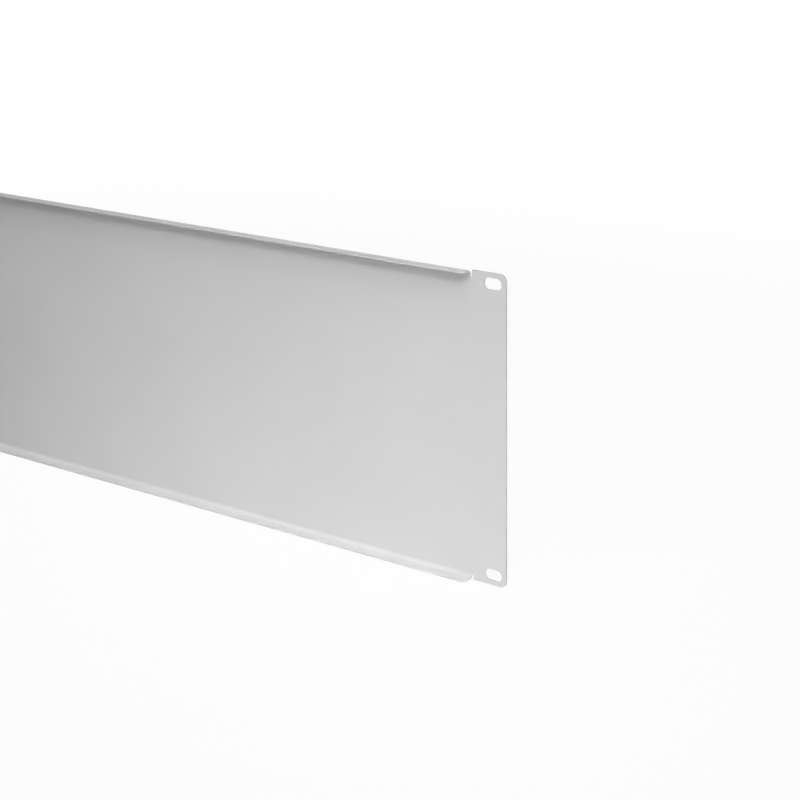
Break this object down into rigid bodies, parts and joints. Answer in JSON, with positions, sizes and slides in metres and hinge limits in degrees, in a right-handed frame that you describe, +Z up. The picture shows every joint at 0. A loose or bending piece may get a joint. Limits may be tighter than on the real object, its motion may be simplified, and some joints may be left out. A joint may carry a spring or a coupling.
{
  "type": "rack blanking panel",
  "caption": "Flat sheet-steel cover for an empty rack bay, with folded upper and lower flanges behind and slotted screw ears at both ends.",
  "frame": {"origin": "centre of the four screw slots, in the plane of the ears' rear face, which seats on the rack's rails", "axes": "+X along the panel's width, +Y out of its rear, towards the inside of the rack, +Z up"},
  "size_m": [0.4826, 0.0085, 0.177],
  "materials": {
    "coated_steel": "light grey powder coat, satin, fine orange peel"
  },
  "bodies": {
    "root": {"folded_panel": "coated_steel"}
  },
  "joints": []
}
